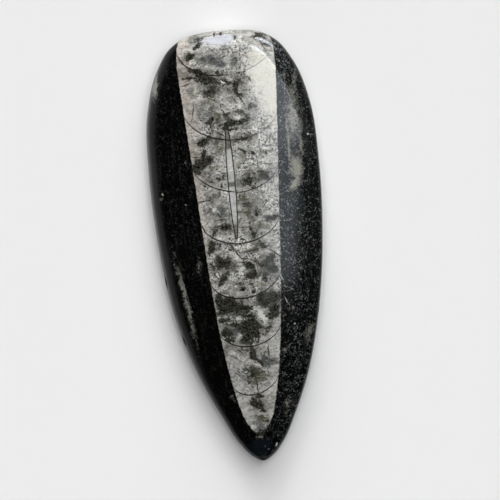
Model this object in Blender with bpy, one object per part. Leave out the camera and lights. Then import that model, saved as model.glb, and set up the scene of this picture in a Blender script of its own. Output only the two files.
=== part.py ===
"""A polished orthoceras fossil: one teardrop of black limestone, ground and polished by hand.

The shell, its chamber walls and the limestone around it are one piece of rock, so this is one solid. It lies
face up on its sawn base. +X is the right side seen from above, +Y the blunt end, +Z up, and the origin is
under the middle of the base.
"""
from collections import namedtuple

import bmesh
import bpy
from mathutils import Vector
from mathutils.geometry import interpolate_bezier

MM = 0.001

# Driving dimensions, in millimetres
THICKNESS = 9.5
WIDEST_HALF = 15.0
BLUNT_END = 38.0
TIP_END = -38.0

# Half of the outline from the blunt end to the tip: half width, then place along the stone
HALF_OUTLINE = (
    (0.0, BLUNT_END),
    (3.4, 37.85),
    (6.4, 37.3),
    (9.3, 35.6),
    (12.1, 31.6),
    (14.3, 24.6),
    (WIDEST_HALF, 14.0),
    (14.55, 2.0),
    (12.85, -11.0),
    (9.7, -22.4),
    (6.4, -30.0),
    (3.8, -34.8),
    (1.9, -37.0),
    (0.0, TIP_END),
)
POINTS_PER_SPAN = 5

# The tip leans a little to the right of the middle line
LEAN = 0.56
LEAN_START = -8.0
LEAN_FULL = -34.0

# The stone gets thinner from its middle to its tip
TIP_THINNING = 0.38
THINNING_START = 2.0

# Each level of the stone, from the base up: how far it lies inside the outline on the left, on the right,
# at the blunt end and at the tip, then its height on the left and on the right
Level = namedtuple("Level", "left right blunt tip height_left height_right")
BASE_EDGE = Level(1.0, 1.0, 1.0, 1.0, 0.0, 0.0)
BASE_ROUND = Level(0.3, 0.3, 0.3, 0.3, 0.4, 0.4)
WALL_FOOT = Level(0.0, 0.0, 0.0, 0.0, 1.5, 1.5)
WALL_TOP = Level(0.05, 0.0, 0.1, 0.05, 3.6, 4.6)
SHOULDER = Level(0.6, 0.4, 0.6, 0.4, 5.6, 5.7)
SLOPE = Level(1.6, 1.6, 1.5, 1.8, 6.95, 6.75)
PLATEAU_EDGE = Level(3.5, 3.1, 3.0, 4.2, 7.95, 7.9)
LEVELS = (BASE_EDGE, BASE_ROUND, WALL_FOOT, WALL_TOP, SHOULDER, SLOPE, PLATEAU_EDGE)

# The plateau is a low dome: rings that close in from its edge on a crest line
DOME_RINGS = 5
CREST_LENGTH_SHARE = 0.55

# Chips that broke off the tip and the rim: place of the ball that cuts each, then its radius. The balls at
# the rim barely reach the stone, so they leave wide and shallow hollows
TIP_CHIP = ((0.5, -38.9, 4.6), 2.0)
RIM_CHIPS = (
    ((-15.4, -5.5, 4.0), 2.0),
    ((-13.1, -16.4, 3.8), 2.0),
    ((14.2, -12.6, 4.0), 2.0),
)
CHIP_SUBDIVISIONS = 3

STONE_COLOUR = (0.012, 0.012, 0.011, 1.0)
STONE_ROUGHNESS = 0.15
# Faces that meet at less than this angle, in radians, are shaded as one surface
SMOOTH_BELOW = 0.35


def clear_scene():
    for old in list(bpy.data.objects):
        bpy.data.objects.remove(old, do_unlink=True)


def new_collection(name):
    collection = bpy.data.collections.new(name)
    bpy.context.scene.collection.children.link(collection)
    return collection


def ramp(value, start, end):
    """0 before start, 1 after end, smooth between."""
    share = max(0.0, min(1.0, (value - start) / (end - start)))
    return share * share * (3.0 - 2.0 * share)


def slope_at(before, here, after):
    """Direction of a smooth curve through three points that aren't evenly spaced."""
    first = (here - before).length
    second = (after - here).length
    return (here - before) / first - (after - before) / (first + second) + (after - here) / second


def half_outline():
    """Points of the right half, from the blunt end to the tip, on a smooth curve."""
    knots = [Vector(point) for point in HALF_OUTLINE]
    mirrored_start = Vector((-knots[1].x, knots[1].y))
    mirrored_end = Vector((-knots[-2].x, knots[-2].y))
    row = [mirrored_start] + knots + [mirrored_end]
    points = [knots[0]]
    for before, start, end, after in zip(row, row[1:], row[2:], row[3:]):
        reach = (end - start).length / 3.0
        handle_out = start + slope_at(before, start, end) * reach
        handle_in = end - slope_at(start, end, after) * reach
        points += interpolate_bezier(start, handle_out, handle_in, end, POINTS_PER_SPAN + 1)[1:]
    return points


def full_outline():
    """Points all round, from the blunt end down the right side and up the left."""
    right = half_outline()
    left = [Vector((-point.x, point.y)) for point in right[-2:0:-1]]
    return right + left


def thinning(along):
    return 1.0 - TIP_THINNING * ramp(along, THINNING_START, TIP_END)


def level_ring(outline, level):
    """The outline drawn in to one level of the stone, as 3D points."""
    ring = []
    for point in outline:
        inset = level.right if point.x > 0.0 else level.left
        across = point.x * (1.0 - inset / WIDEST_HALF)
        share = (BLUNT_END - point.y) / (BLUNT_END - TIP_END)
        along = (BLUNT_END - level.blunt) * (1.0 - share) + (TIP_END + level.tip) * share
        rightness = 0.5 + 0.5 * point.x / WIDEST_HALF
        height = level.height_left * (1.0 - rightness) + level.height_right * rightness
        ring.append(Vector((across, along, height * thinning(along))))
    return ring


def dome_ring(edge, closing):
    """A ring of the dome: closing is 0 at the plateau's edge and 1 on the crest line."""
    ring = []
    for point in edge:
        across = point.x * (1.0 - closing)
        along = point.y * (1.0 - closing * (1.0 - CREST_LENGTH_SHARE))
        edge_height = point.z / thinning(point.y)
        height = THICKNESS - (THICKNESS - edge_height) * (1.0 - closing) ** 2
        ring.append(Vector((across, along, height * thinning(along))))
    return ring


def add_ring(mesh, ring):
    lean = [LEAN * ramp(point.y, LEAN_START, LEAN_FULL) for point in ring]
    return [mesh.verts.new((point + Vector((shift, 0.0, 0.0))) * MM) for point, shift in zip(ring, lean)]


def join_rings(mesh, lower, upper):
    count = len(lower)
    for i in range(count):
        following = (i + 1) % count
        mesh.faces.new((lower[i], upper[i], upper[following], lower[following]))


def cover_base(mesh, ring):
    """The flat base: strips across the stone between points that face each other."""
    count = len(ring)
    half = count // 2
    for i in range(half):
        left = ring[-i % count]
        next_left = ring[-(i + 1) % count]
        corners = dict.fromkeys((left, ring[i], ring[i + 1], next_left))
        mesh.faces.new(list(corners))


def stone_mesh():
    """Loft of the levels from the base to the plateau's edge, then of the dome's rings."""
    outline = full_outline()
    rings = [level_ring(outline, level) for level in LEVELS]
    edge = rings[-1]
    rings += [dome_ring(edge, step / DOME_RINGS) for step in range(1, DOME_RINGS + 1)]
    mesh = bmesh.new()
    loops = [add_ring(mesh, ring) for ring in rings]
    cover_base(mesh, loops[0])
    for lower, upper in zip(loops, loops[1:]):
        join_rings(mesh, lower, upper)
    bmesh.ops.remove_doubles(mesh, verts=mesh.verts, dist=0.01 * MM)
    bmesh.ops.recalc_face_normals(mesh, faces=mesh.faces)
    data = bpy.data.meshes.new("orthoceras_stone")
    mesh.to_mesh(data)
    mesh.free()
    return data


def stone_material():
    material = bpy.data.materials.new("black_limestone")
    material.use_nodes = True
    shader = material.node_tree.nodes["Principled BSDF"]
    shader.inputs["Base Color"].default_value = STONE_COLOUR
    shader.inputs["Roughness"].default_value = STONE_ROUGHNESS
    shader.inputs["Metallic"].default_value = 0.0
    return material


def chip_cutter(name, centre, radius, collection):
    """A ball whose overlap with the stone is broken away, as a shell-shaped chip."""
    mesh = bmesh.new()
    bmesh.ops.create_icosphere(mesh, subdivisions=CHIP_SUBDIVISIONS, radius=radius * MM)
    data = bpy.data.meshes.new(name)
    mesh.to_mesh(data)
    mesh.free()
    cutter = bpy.data.objects.new(name, data)
    cutter.location = Vector(centre) * MM
    cutter.hide_render = True
    cutter.display_type = "WIRE"
    collection.objects.link(cutter)
    return cutter


def cut(stone, cutter):
    boolean = stone.modifiers.new(cutter.name, "BOOLEAN")
    boolean.operation = "DIFFERENCE"
    boolean.solver = "EXACT"
    boolean.object = cutter


def build():
    clear_scene()
    parts = new_collection("orthoceras_fossil")
    cutters = new_collection("chip_cutters")
    data = stone_mesh()
    data.shade_smooth()
    data.set_sharp_from_angle(angle=SMOOTH_BELOW)
    data.materials.append(stone_material())
    stone = bpy.data.objects.new("orthoceras_stone", data)
    parts.objects.link(stone)
    for number, (centre, radius) in enumerate((TIP_CHIP,) + RIM_CHIPS):
        cut(stone, chip_cutter(f"chip_{number}", centre, radius, cutters))


build()
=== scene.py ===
# %% [markdown]
# # A polished orthoceras fossil
#
# The object is a teardrop of black limestone, 76 mm long, ground and polished by hand. It was cut so that
# its top face runs along the middle of a straight shell, an orthoceras. The shell filled with white and
# grey calcite, and its chamber walls show as thin dark arcs.
#
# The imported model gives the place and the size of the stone. This script draws the fine surface of the
# stone around it, and the minerals that the polish shows.

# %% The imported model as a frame
import math
from collections import namedtuple
from functools import partial

import bpy
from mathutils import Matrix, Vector
from mathutils.geometry import interpolate_bezier


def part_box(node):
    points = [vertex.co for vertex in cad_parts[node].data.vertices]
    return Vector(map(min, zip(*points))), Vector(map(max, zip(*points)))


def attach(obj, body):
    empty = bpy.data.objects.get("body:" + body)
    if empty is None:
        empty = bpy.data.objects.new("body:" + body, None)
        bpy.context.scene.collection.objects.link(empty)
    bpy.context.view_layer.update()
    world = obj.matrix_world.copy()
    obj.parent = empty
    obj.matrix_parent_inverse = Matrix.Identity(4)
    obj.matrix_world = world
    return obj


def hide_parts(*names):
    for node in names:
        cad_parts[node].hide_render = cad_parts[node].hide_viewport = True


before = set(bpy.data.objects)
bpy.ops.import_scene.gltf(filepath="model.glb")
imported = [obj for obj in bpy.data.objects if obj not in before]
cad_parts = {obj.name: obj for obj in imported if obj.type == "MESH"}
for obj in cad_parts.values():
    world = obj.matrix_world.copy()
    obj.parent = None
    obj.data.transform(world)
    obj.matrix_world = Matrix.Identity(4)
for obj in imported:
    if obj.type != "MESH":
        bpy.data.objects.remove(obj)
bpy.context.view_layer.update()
stone_low, stone_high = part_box("orthoceras_stone")
DRAWN_LENGTH = 76.0
MM = (stone_high.y - stone_low.y) / DRAWN_LENGTH
print("one drawn millimetre is", round(MM, 6), "m")
print("stone thickness:", round((stone_high.z - stone_low.z) / MM, 2), "mm")

# %% [markdown]
# ## The outline
#
# Seen from above the stone is a teardrop. The maker ground it by eye, so no arc or ellipse fits it. Points
# every few millimetres, joined by a smooth curve, are the closest thing to that hand-drawn line. Only the
# right half is written down, because the left half mirrors it. The tip leans a little to the right.

# %% Points of the outline, in millimetres
HALF_WIDTH = 15.0
BLUNT_END = DRAWN_LENGTH / 2
TIP_END = -DRAWN_LENGTH / 2
HALF_OUTLINE = (
    (0.0, BLUNT_END), (3.4, 37.85), (6.4, 37.3), (9.3, 35.6), (12.1, 31.6), (14.3, 24.6), (HALF_WIDTH, 14.0),
    (14.55, 2.0), (12.85, -11.0), (9.7, -22.4), (6.4, -30.0), (3.8, -34.8), (1.9, -37.0), (0.0, TIP_END),
)
POINTS_PER_SPAN = 40


def slope_at(before, here, after):
    """Direction of a smooth curve through three points that aren't evenly spaced."""
    first = (here - before).length
    second = (after - here).length
    return (here - before) / first - (after - before) / (first + second) + (after - here) / second


def smooth_through(knots, before, after, points_per_span):
    """Points on a smooth curve through the knots. The points before and after set its two end slopes."""
    row = [before] + list(knots) + [after]
    points = [knots[0]]
    for left, start, end, right in zip(row, row[1:], row[2:], row[3:]):
        reach = (end - start).length / 3.0
        handle_out = start + slope_at(left, start, end) * reach
        handle_in = end - slope_at(start, end, right) * reach
        points += interpolate_bezier(start, handle_out, handle_in, end, points_per_span + 1)[1:]
    return points


knots = [Vector(point) for point in HALF_OUTLINE]
mirror = Vector((-1.0, 1.0))
half = smooth_through(knots, knots[1] * mirror, knots[-2] * mirror, POINTS_PER_SPAN)
print("half outline:", len(half), "points, widest at", round(max(point.x for point in half), 2), "mm")


# %% [markdown]
# The surface is drawn as ribs that start at evenly spread points of the outline. They stand closer together
# at the blunt end and at the tip, where the outline turns fastest.

# %% Starting points of the ribs
RIBS_PER_HALF = 230
CROWDING = 0.5


def lengths_along(line):
    """Distance from the start of a line to each of its points."""
    reached = [0.0]
    for start, end in zip(line, line[1:]):
        reached.append(reached[-1] + (end - start).length)
    return reached


def spread(line, count):
    """Points along a line, closer together towards its two ends."""
    reached = lengths_along(line)
    points = []
    span = 0
    for step in range(count + 1):
        share = step / count
        share -= CROWDING * math.sin(2.0 * math.pi * share) / (2.0 * math.pi)
        distance = share * reached[-1]
        while span < len(line) - 2 and reached[span + 1] < distance:
            span += 1
        part = (distance - reached[span]) / (reached[span + 1] - reached[span])
        points.append(line[span].lerp(line[span + 1], part))
    return points


right = spread(half, RIBS_PER_HALF)
right[0].x = 0.0
right[-1].x = 0.0
outline = right + [point * mirror for point in right[-2::-1]]
print(len(outline), "ribs, the last on top of the first")


# %% [markdown]
# ## The section
#
# Each rib climbs from the middle of the flat base, round the sharp lower edge, up the ground wall, over a
# bevel and across the polished face to its crest. The left edge is a soft round. On the right and at the
# blunt end the maker held the stone at one angle, so a flat bevel meets the top in a crisp ridge.
#
# A level says how far inside the outline a part of the section lies, and how high.

# %% Levels of the section, in millimetres
Level = namedtuple("Level", "left right blunt tip height_left height_right height_blunt")
BASE_EDGE = Level(1.0, 1.0, 1.0, 1.0, 0.0, 0.0, 0.0)
BASE_ROUND = Level(0.3, 0.3, 0.3, 0.3, 0.4, 0.4, 0.4)
WALL_FOOT = Level(0.0, 0.0, 0.0, 0.0, 1.5, 1.5, 1.5)
WALL_MIDDLE = Level(0.0, 0.0, 0.0, 0.0, 2.8, 4.2, 4.3)
WALL_TOP = Level(0.06, 0.0, 0.05, 0.05, 3.7, 4.85, 4.95)
SHOULDER = Level(0.6, 0.14, 0.65, 0.4, 5.6, 5.55, 5.95)
SLOPE = Level(1.6, 1.6, 1.5, 1.8, 6.88, 6.7, 6.7)
RIDGE_FOOT = Level(3.0, 2.95, 2.85, 3.9, 7.77, 7.78, 7.8)
RIDGE_TOP = Level(3.6, 3.25, 3.15, 4.4, 7.97, 7.98, 7.98)
LEVELS = (BASE_EDGE, BASE_ROUND, WALL_FOOT, WALL_MIDDLE, WALL_TOP, SHOULDER, SLOPE, RIDGE_FOOT, RIDGE_TOP)
THICKNESS = 9.5
CREST_LENGTH_SHARE = 0.55
BLUNT_FROM = 30.0
BLUNT_TO = 37.6

# The stone gets thinner from its middle to its tip, and the tip leans to the right
TIP_THINNING = 0.38
THINNING_START = 2.0
LEAN = 0.56
LEAN_START = -8.0
LEAN_FULL = -34.0

# The bevel on the right is narrowest here
NARROW_BEVEL_AT = 20.5
NARROW_BEVEL_REACH = 11.0
NARROW_BEVEL_BY = 0.22


def ramp(value, start, end):
    """0 before start, 1 after end, smooth between."""
    share = max(0.0, min(1.0, (value - start) / (end - start)))
    return share * share * (3.0 - 2.0 * share)


def thinning(along):
    return 1.0 - TIP_THINNING * ramp(along, THINNING_START, TIP_END)


def on_level(point, level):
    """The place on a level that belongs to a point of the outline."""
    away = abs(point.y - NARROW_BEVEL_AT) / NARROW_BEVEL_REACH
    narrowed = 1.0 - NARROW_BEVEL_BY * ramp(away, 1.0, 0.0)
    inset = level.right * narrowed if point.x > 0.0 else level.left
    across = point.x * (1.0 - inset / HALF_WIDTH)
    share = (BLUNT_END - point.y) / DRAWN_LENGTH
    along = (BLUNT_END - level.blunt) * (1.0 - share) + (TIP_END + level.tip) * share
    rightness = 0.5 + 0.5 * point.x / HALF_WIDTH
    height = level.height_left + (level.height_right - level.height_left) * rightness
    height += (level.height_blunt - height) * ramp(point.y, BLUNT_FROM, BLUNT_TO)
    return Vector((across, along, height * thinning(along)))


def on_dome(edge, closing):
    """A place on the polished face: closing is 0 at the ridge and 1 on the crest line."""
    across = edge.x * (1.0 - closing)
    along = edge.y * (1.0 - closing * (1.0 - CREST_LENGTH_SHARE))
    edge_height = edge.z / thinning(edge.y)
    height = THICKNESS - (THICKNESS - edge_height) * (1.0 - closing) ** 2
    return Vector((across, along, height * thinning(along)))


# %% Points of one rib
POINTS_PER_LEVEL = 6
BASE_POINTS = 4
DOME_POINTS = 34
SLOPE_REACH = 0.1


def rib(point):
    """One section line of the stone, from the middle of its base to the crest."""
    edges = [on_level(point, level) for level in LEVELS]
    before = edges[0] * (1.0 - SLOPE_REACH)
    rim = smooth_through(edges, before, on_dome(edges[-1], SLOPE_REACH), POINTS_PER_LEVEL)
    middle = Vector((0.0, edges[0].y * CREST_LENGTH_SHARE, 0.0))
    base = [middle.lerp(edges[0], step / BASE_POINTS) for step in range(BASE_POINTS)]
    dome = [on_dome(edges[-1], step / DOME_POINTS) for step in range(1, DOME_POINTS + 1)]
    line = base + rim + dome
    for place in line:
        place.x += LEAN * ramp(place.y, LEAN_START, LEAN_FULL)
        place.z = max(place.z, 0.0)
    return line


ribs = [rib(point) for point in outline]
print(len(ribs[0]), "points in each rib; top at", round(max(place.z for place in ribs[0]), 2), "mm")

# %% [markdown]
# ## The ribs as curves
#
# The ribs are real curves, one spline each. Lofting tools in CAD ask for just such section curves, and here
# a node tree skins them. It keeps the drawing of the shape apart from the making of the mesh.

# %% Curves for the ribs
sections = bpy.data.curves.new("stone_sections", "CURVE")
sections.dimensions = "3D"
for line in ribs:
    spline = sections.splines.new("POLY")
    spline.points.add(len(line) - 1)
    for knot, place in zip(spline.points, line):
        knot.co = (*(place * MM), 1.0)
drawn = bpy.data.objects.new("stone_sections", sections)
bpy.context.scene.collection.objects.link(drawn)
print(len(sections.splines), "section curves")


# %% [markdown]
# ## Helpers for node trees
#
# One function adds any node, with its settings and its links. Colours are given as sRGB hex values,
# and shaders want linear light, so a second function converts them.
#
# The kinds of node that come up again and again have short names. Most shapes of a marking end in a map
# range. It takes a value, two values to start and end at, and the two results for them. So a tuple with a
# name in RANGE holds the start and the end, for results of 0 and 1, or it holds all four.

# %% One function for every node, one for colours
def add(tree, kind, feeds=(), result=0, **settings):
    """Adds a node, feeds its sockets with links or values, and returns one of its outputs.

    A kind is a type of node, with one of its settings after it where types are shared. Feeds go to the first
    sockets in their order, or to the sockets that a dictionary names.
    """
    kind, *shared = kind.split()
    node = tree.nodes.new(kind)
    for name, value in (*zip(shared[::2], shared[1::2]), *settings.items()):
        setattr(node, name, value)
    for socket, value in feeds.items() if isinstance(feeds, dict) else enumerate(feeds):
        if isinstance(value, bpy.types.NodeSocket):
            tree.links.new(value, node.inputs[socket])
        else:
            node.inputs[socket].default_value = value
    return node.outputs[result]


def linear(hex_colour):
    """A colour written as sRGB hex, as linear red, green, blue and alpha."""
    values = [int(hex_colour[start:start + 2], 16) / 255.0 for start in (1, 3, 5)]
    light = [value / 12.92 if value <= 0.04045 else ((value + 0.055) / 1.055) ** 2.4 for value in values]
    return (*light, 1.0)


# %% Kinds of node that come up often
MATH = "ShaderNodeMath operation "
VECTOR = "ShaderNodeVectorMath operation "
ADD = MATH + "ADD"
SUBTRACT = MATH + "SUBTRACT"
MULTIPLY = MATH + "MULTIPLY"
MULTIPLY_ADD = MATH + "MULTIPLY_ADD"
DIVIDE = MATH + "DIVIDE"
POWER = MATH + "POWER"
ABSOLUTE = MATH + "ABSOLUTE"
MAXIMUM = MATH + "MAXIMUM"
RANGE = "ShaderNodeMapRange"
SMOOTH = "ShaderNodeMapRange interpolation_type SMOOTHSTEP"
NOISE = "ShaderNodeTexNoise"
SPLIT = "ShaderNodeSeparateXYZ"
MAPPING = "ShaderNodeMapping"
MIX = "ShaderNodeMix"
MIX_COLOURS = "ShaderNodeMix data_type RGBA"

# %% [markdown]
# ## The skin
#
# A flat grid has as many rows and columns as the ribs have points. Each of its corners moves to the rib
# point of the same number, and corners that meet on the crest, on the base and at the first rib are merged.
# That gives a closed body of even quads.
#
# Three things that the hand leaves come next: a very slight waviness of the polish, shallow chips where the
# rim was knocked, and a small pit near the tip. A chip pushes every corner that lies inside a ball out to
# the ball's surface, which leaves the shell-shaped hollow of broken limestone.

# %% Tree that dents the surface with a ball
STORE = "GeometryNodeStoreNamedAttribute"


def new_tree(name, inputs):
    """An empty tree of geometry nodes. Its inputs are names with kinds, and its output is a geometry."""
    tree = bpy.data.node_groups.new(name, "GeometryNodeTree")
    for title, kind in inputs.items():
        tree.interface.new_socket(title, in_out="INPUT", socket_type="NodeSocket" + kind)
    tree.interface.new_socket("Geometry", in_out="OUTPUT", socket_type="NodeSocketGeometry")
    return tree


dent = new_tree("dent_with_ball", {"Geometry": "Geometry", "Centre": "Vector", "Radius": "Float"})
node = partial(add, dent)
given = dent.nodes.new("NodeGroupInput").outputs
place = node("GeometryNodeInputPosition")
ray = node(VECTOR + "SUBTRACT", (place, given["Centre"]))
distance = node(VECTOR + "LENGTH", {0: ray}, 1)
inside = node("FunctionNodeCompare", (distance, given["Radius"]), operation="LESS_THAN")
straight = node(VECTOR + "NORMALIZE", {0: ray})
reach = node(VECTOR + "SCALE", {0: straight, 3: given["Radius"]})
on_ball = node(VECTOR + "ADD", (reach, given["Centre"]))
marked = node(STORE, {"Geometry": given["Geometry"], "Selection": inside, "Name": "broken", "Value": 1.0})
dented = node("GeometryNodeSetPosition", {"Geometry": marked, "Selection": inside, "Position": on_ball})
dent.links.new(dented, dent.nodes.new("NodeGroupOutput").inputs[0])
print("dent tree:", len(dent.nodes), "nodes")

# %% Chips and the pit: the middle of each ball and its radius, in millimetres
CHIPS = (
    ((0.5, -38.9, 4.6), 2.0), ((-15.4, -5.5, 4.0), 2.0), ((-13.1, -16.4, 3.8), 2.0),
    ((14.2, -12.6, 4.0), 2.0), ((1.5, -35.7, 5.65), 0.5),
)

# %% Tree that skins the ribs
WAVES_START = 0.5 * MM
WAVES_FULL = 3.0 * MM
MERGED_BELOW = 0.002 * MM
skin = new_tree("skin_of_sections", {
    "Geometry": "Geometry", "Columns": "Int", "Rows": "Int", "Waviness": "Float", "Wave length": "Float",
    "Finish": "Material"})
node = partial(add, skin)
given = skin.nodes.new("NodeGroupInput").outputs
grid = node("GeometryNodeMeshGrid", {"Vertices X": given["Columns"], "Vertices Y": given["Rows"]})
number = node("GeometryNodeInputIndex")
place = node("GeometryNodeInputPosition")
rib_point = node("GeometryNodeSampleIndex", {"Geometry": given["Geometry"], "Value": place, "Index": number},
                 data_type="FLOAT_VECTOR", domain="POINT")
lofted = node("GeometryNodeSetPosition", {"Geometry": grid, "Position": rib_point})
row = node(MATH + "MODULO", (number, given["Rows"]))
column = node(DIVIDE, (number, given["Rows"]))
column = node(MATH + "FLOOR", {0: column})
for name, value in (("rib_row", row), ("rib_column", column), ("broken", 0.0)):
    lofted = node(STORE, {"Geometry": lofted, "Name": name, "Value": value})
closed = node("GeometryNodeMergeByDistance", {"Geometry": lofted, "Distance": MERGED_BELOW})

# The waves rise along the normal, and fade out towards the base, which stays flat
pitch = node(DIVIDE, (1.0, given["Wave length"]))
waves = node(NOISE, {"Vector": place, "Scale": pitch, "Detail": 1.0})
waves = node(SUBTRACT, (waves, 0.5))
height = node(SPLIT, {0: place}, 2)
above_base = node(SMOOTH, (height, WAVES_START, WAVES_FULL))
size = node(MULTIPLY, (waves, given["Waviness"]))
size = node(MULTIPLY, (size, above_base))
normal = node("GeometryNodeInputNormal")
offset = node(VECTOR + "SCALE", {0: normal, 3: size})
body = node("GeometryNodeSetPosition", {"Geometry": closed, "Offset": offset})
for centre, radius in CHIPS:
    ball = {"Geometry": body, "Centre": [value * MM for value in centre], "Radius": radius * MM}
    body = node("GeometryNodeGroup", ball, node_tree=dent)
body = node("GeometryNodeSetShadeSmooth", {"Geometry": body, "Shade Smooth": True})
body = node("GeometryNodeRealizeInstances", {"Geometry": body})
body = node("GeometryNodeSetMaterial", {"Geometry": body, "Material": given["Finish"]})
skin.links.new(body, skin.nodes.new("NodeGroupOutput").inputs[0])
print("skin tree:", len(skin.nodes), "nodes")

# %% Sizes for the skin, then the plain mesh
SKIN_SIZES = {
    "Columns": len(ribs), "Rows": len(ribs[0]), "Waviness": 0.03 * MM, "Wave length": 7.0 * MM,
}
limestone = bpy.data.materials.new("polished_black_limestone_with_calcite_fossil")
limestone.use_nodes = True
modifier = drawn.modifiers.new("skin", "NODES")
modifier.node_group = skin
for socket in skin.interface.items_tree:
    if socket.in_out == "INPUT" and socket.name in SKIN_SIZES:
        modifier[socket.identifier] = SKIN_SIZES[socket.name]
    if socket.name == "Finish":
        modifier[socket.identifier] = limestone
solid = drawn.evaluated_get(bpy.context.evaluated_depsgraph_get())
mesh = bpy.data.meshes.new_from_object(solid)
mesh.name = "polished_orthoceras"
mesh.materials.clear()
mesh.materials.append(limestone)
mesh.polygons.foreach_set("material_index", [0] * len(mesh.polygons))
stone = bpy.data.objects.new("polished_orthoceras", mesh)
bpy.context.scene.collection.objects.link(stone)
bpy.data.objects.remove(drawn)
print(len(mesh.vertices), "points,", len(mesh.polygons), "faces")

# %% [markdown]
# ## Unwrapping
#
# A map of the surface is needed where the finish is baked into a picture for other programs. The polished
# face and the base are nearly flat, so each is laid out as seen from above. The ground wall would be
# crushed that way, so it is unrolled as two strips, one for each side, along the ribs.

# %% Charts of the surface: scale and place of each, in pixels of a 1024 pixel map
MAP_SIDE = 1024.0
TOP_SCALE = 13.1
BASE_SCALE = 10.0
WALL_SCALE = 10.4
TOP_MIDDLE = (208.0, 512.0)
BASE_MIDDLE = (570.0, 512.0)
WALL_STARTS = ((735.0, 20.0), (870.0, 20.0))
FIRST_WALL_ROW = BASE_POINTS
FIRST_TOP_ROW = BASE_POINTS + POINTS_PER_LEVEL * LEVELS.index(SHOULDER)

round_outline = lengths_along(outline)
up_rib = lengths_along(ribs[RIBS_PER_HALF // 3])
layout = mesh.uv_layers.new(name="OFBake")
rows = [item.value for item in mesh.attributes["rib_row"].data]
columns = [int(item.value) for item in mesh.attributes["rib_column"].data]
for face in mesh.polygons:
    corners = [(mesh.loops[number].vertex_index, number) for number in face.loop_indices]
    lowest = min(rows[vertex] for vertex, number in corners)
    on_left = face.center.x < 0.0
    for vertex, number in corners:
        spot = mesh.vertices[vertex].co / MM
        if lowest < FIRST_WALL_ROW:
            u = BASE_MIDDLE[0] - spot.x * BASE_SCALE
            v = BASE_MIDDLE[1] + spot.y * BASE_SCALE
        elif lowest < FIRST_TOP_ROW:
            column = columns[vertex]
            if on_left and column == 0:
                column = len(ribs) - 1
            along = round_outline[column] - (round_outline[RIBS_PER_HALF] if on_left else 0.0)
            start = WALL_STARTS[on_left]
            u = start[0] + (up_rib[int(rows[vertex])] - up_rib[FIRST_WALL_ROW]) * WALL_SCALE
            v = start[1] + along * WALL_SCALE
        else:
            u = TOP_MIDDLE[0] + spot.x * TOP_SCALE
            v = TOP_MIDDLE[1] + spot.y * TOP_SCALE
        layout.data[number].uv = (u / MAP_SIDE, v / MAP_SIDE)
for name in ("rib_row", "rib_column"):
    mesh.attributes.remove(mesh.attributes[name])
print("wall is unrolled to", round(up_rib[FIRST_TOP_ROW] - up_rib[FIRST_WALL_ROW], 1), "mm wide strips")

# %% [markdown]
# ## The fossil inside the stone
#
# The shell was a long thin cone. Here it is a cone too: an axis just under the polished face, and a radius
# that grows towards the blunt end. Whatever lies inside the cone is calcite and the rest is limestone, all
# through the stone. So the ground edges cut the fossil as they do in the real one: it narrows to a rounded
# end where the face dips towards the tip, and it shows in the wall of the blunt end.

# %% Place in the stone, in millimetres
tree = limestone.node_tree
tree.nodes.clear()
node = partial(add, tree)
place = node("ShaderNodeTexCoord", result="Object")
place = node(VECTOR + "SCALE", {0: place, "Scale": 1.0 / MM})
x = node(SPLIT, {0: place}, 0)
y = node(SPLIT, {0: place}, 1)
z = node(SPLIT, {0: place}, 2)

# %% The cone
AXIS_ACROSS = 0.3
AXIS_HEIGHT = 9.6
MIDDLE_RADIUS = 6.62
RADIUS_GROWTH = 0.0625
GROWTH_CHANGE = 0.00022
END_ROUNDING = 0.24
END_RANGE = (-29.5, -32.5)
EDGE_RAGGEDNESS = 0.2
EDGE_RANGE = (-0.08, 0.1)
across = node(SUBTRACT, (x, AXIS_ACROSS))
below = node(SUBTRACT, (z, AXIS_HEIGHT))
squared = node(MULTIPLY, (across, across))
squared = node(MULTIPLY_ADD, (below, below, squared))
from_axis = node(MATH + "SQRT", {0: squared})
growth = node(MULTIPLY_ADD, (y, GROWTH_CHANGE, RADIUS_GROWTH))
radius = node(MULTIPLY_ADD, (y, growth, MIDDLE_RADIUS))
end_share = node(SMOOTH, (y, *END_RANGE))
radius = node(MULTIPLY_ADD, (end_share, -END_ROUNDING, radius))
ragged_edge = node(NOISE, {"Vector": place, "Scale": 1.6, "Detail": 3.0, "Roughness": 0.65})
ragged_edge = node(RANGE, {0: ragged_edge, 3: -EDGE_RAGGEDNESS, 4: EDGE_RAGGEDNESS})
depth_inside = node(SUBTRACT, (radius, from_axis))
depth_inside = node(ADD, (depth_inside, ragged_edge))
fossil = node(SMOOTH, (depth_inside, *EDGE_RANGE))

# %% [markdown]
# ## Chamber walls
#
# Each wall between two chambers was a shallow bowl, open towards the blunt end. A polished section shows it
# as an arc. The same bowl repeats along the cone, and its depth follows the radius, so one bowl is worked
# out and each wall only shifts and tilts it.

# %% The walls: place of the rim, tilt, half thickness of the line, strength on the left and on the right
CHAMBER_WALLS = (
    (35.18, 0.03, 0.12, 1.0, 0.45), (23.31, -0.033, 0.13, 1.0, 0.6), (13.9, -0.03, 0.13, 1.0, 0.0),
    (13.67, 0.0, 0.11, 0.0, 0.9), (4.43, 0.038, 0.14, 1.0, 0.95), (-5.53, 0.096, 0.14, 1.0, 0.95),
    (-14.6, 0.065, 0.13, 1.0, 0.95), (-23.92, 0.163, 0.13, 1.0, 0.95),
)
BOWL_DEPTH_SHARE = 0.6
BOWL_POWER = 0.6
LINE_SOFTNESS = 0.55
WOBBLE = 0.12
SIDES_RANGE = (-1.0, 0.8)
shallow = node(MULTIPLY, (radius, radius))
shallow = node(DIVIDE, (squared, shallow))
shallow = node(SUBTRACT, (1.0, shallow), use_clamp=True)
shallow = node(POWER, (shallow, BOWL_POWER))
bowl = node(MULTIPLY, (shallow, radius))
lifted = node(MULTIPLY_ADD, (bowl, BOWL_DEPTH_SHARE, y))
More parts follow.
